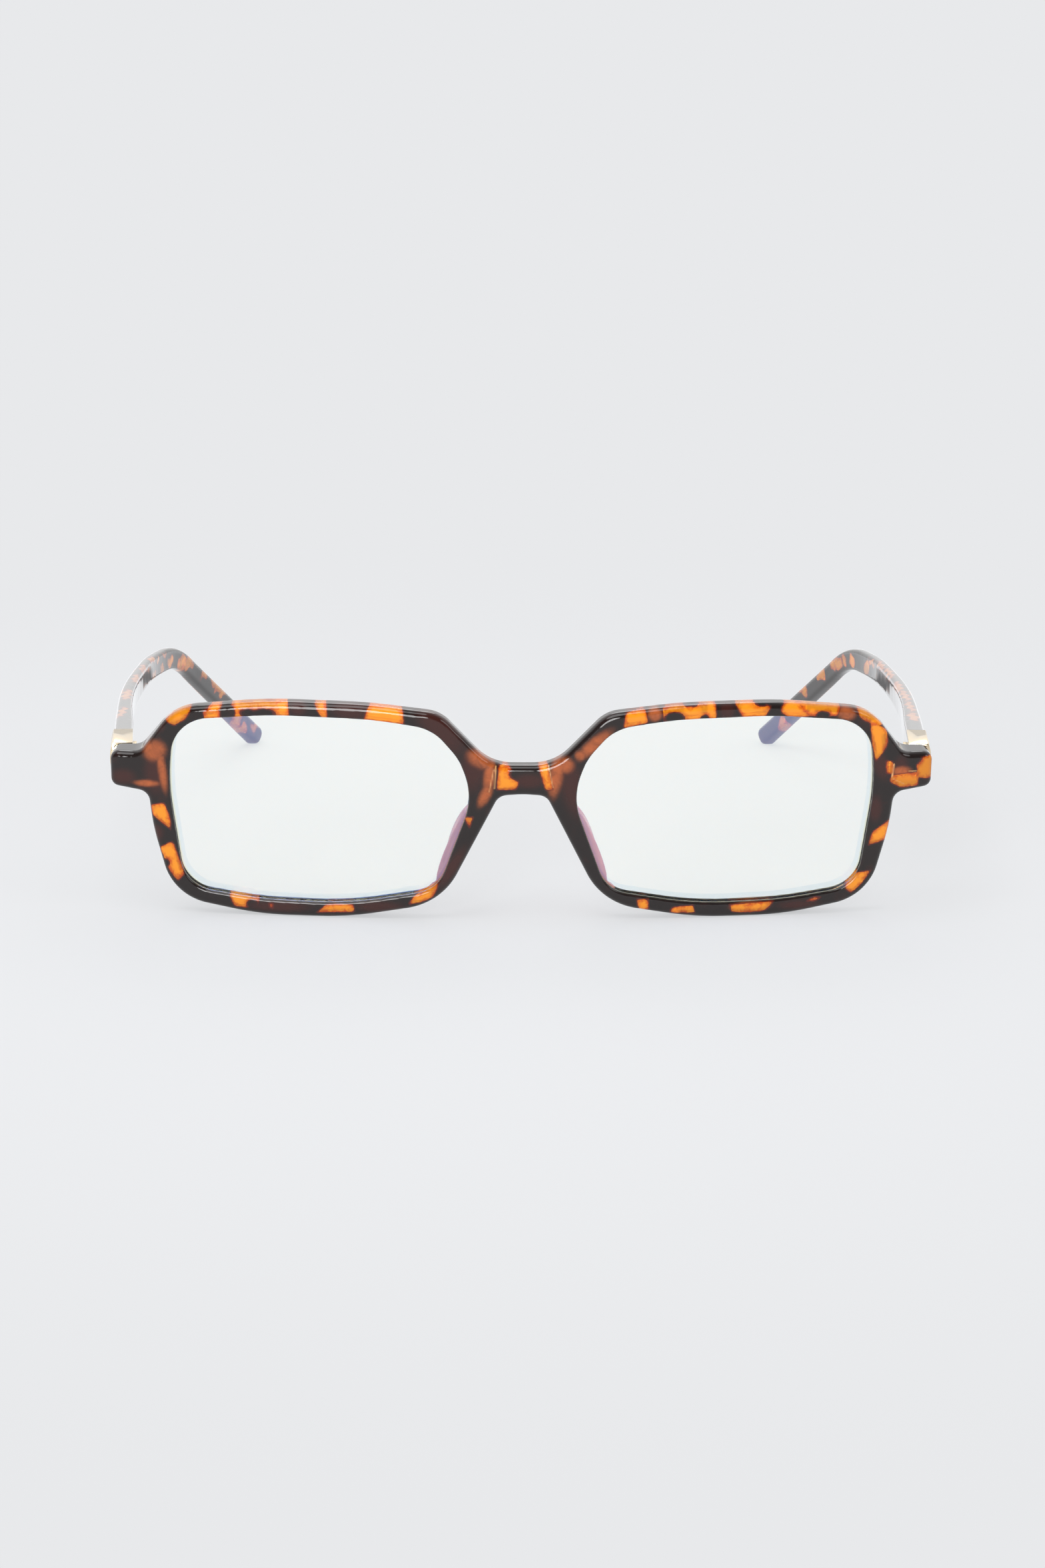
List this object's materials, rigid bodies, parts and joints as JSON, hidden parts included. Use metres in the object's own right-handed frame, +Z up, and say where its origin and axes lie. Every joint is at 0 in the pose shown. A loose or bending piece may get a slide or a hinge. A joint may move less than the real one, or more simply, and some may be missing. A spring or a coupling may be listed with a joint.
{
  "type": "rectangular eyeglasses",
  "caption": "Full-rim rectangular eyeglasses in tortoiseshell acetate with clear lenses, gold collars and folding temples.",
  "frame": {"origin": "middle of the footprint, on the table that the glasses stand on, with the temples open", "axes": "+X towards the right of the picture (the wearer's left), +Y from the front back towards the ears, +Z up"},
  "size_m": [0.1478, 0.1374, 0.0391],
  "materials": {
    "tortoiseshell_acetate": "polished tortoiseshell acetate, amber with near-black brown blots",
    "clear_lens": "clear coated lens with a faint bluish reflection",
    "gold_metal": "polished pale gold plating",
    "hinge_metal": "pale gold plated hinge leaves",
    "screw_steel": "bright steel screw"
  },
  "bodies": {
    "front": {"front_frame": "tortoiseshell_acetate", "lens_left": "clear_lens", "lens_right": "clear_lens", "hinge_front_leaf_left": "hinge_metal", "hinge_front_leaf_right": "hinge_metal", "hinge_screw_left": "screw_steel", "hinge_screw_right": "screw_steel"},
    "left_temple": {"temple_left": "tortoiseshell_acetate", "temple_collar_left": "gold_metal", "hinge_temple_leaf_left": "hinge_metal"},
    "right_temple": {"temple_right": "tortoiseshell_acetate", "temple_collar_right": "gold_metal", "hinge_temple_leaf_right": "hinge_metal"}
  },
  "joints": [
    {"name": "right_temple_fold", "type": "hinge", "parent": "front", "child": "right_temple", "pos_m": [0.0653, -0.05346, 0.0255], "axis": [0, 0, 1], "range_deg": [0, 84]},
    {"name": "left_temple_fold", "type": "hinge", "parent": "front", "child": "left_temple", "pos_m": [-0.0653, -0.05346, 0.0255], "axis": [0, 0, -1], "range_deg": [0, 74]}
  ]
}
